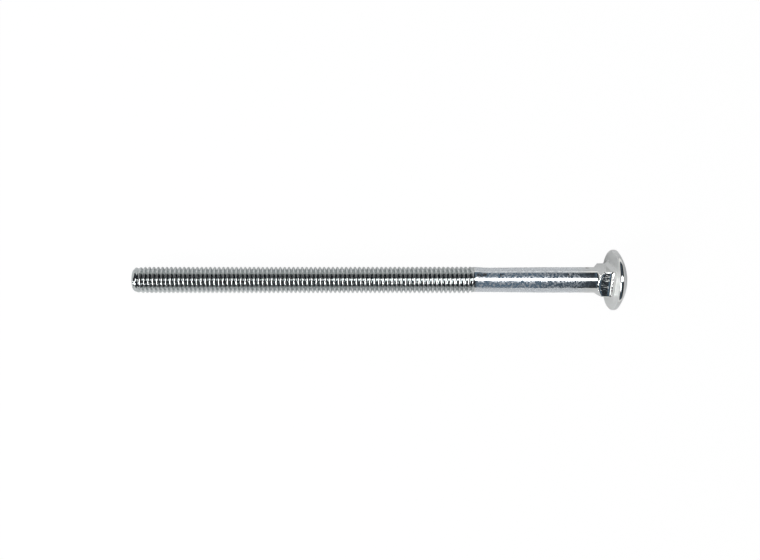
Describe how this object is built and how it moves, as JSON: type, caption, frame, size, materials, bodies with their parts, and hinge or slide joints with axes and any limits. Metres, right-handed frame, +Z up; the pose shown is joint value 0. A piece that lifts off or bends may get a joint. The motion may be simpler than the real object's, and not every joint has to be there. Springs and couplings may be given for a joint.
{
  "type": "carriage bolt",
  "caption": "Round-head, square-neck carriage bolt in zinc-plated steel, with a long coarse thread and a short plain shank, lying on its head and tip.",
  "frame": {"origin": "middle of the bolt's length and width, on the surface that it lies on", "axes": "+X toward the head, +Z up from the surface that the bolt lies on; the bolt's own axis rises toward the head by 2.04 degrees"},
  "size_m": [0.1764, 0.0216, 0.0216],
  "materials": {
    "zinc_plated_steel": "bright blue-white zinc plating over rolled and cold-headed steel"
  },
  "bodies": {
    "root": {"bolt": "zinc_plated_steel"}
  },
  "joints": []
}
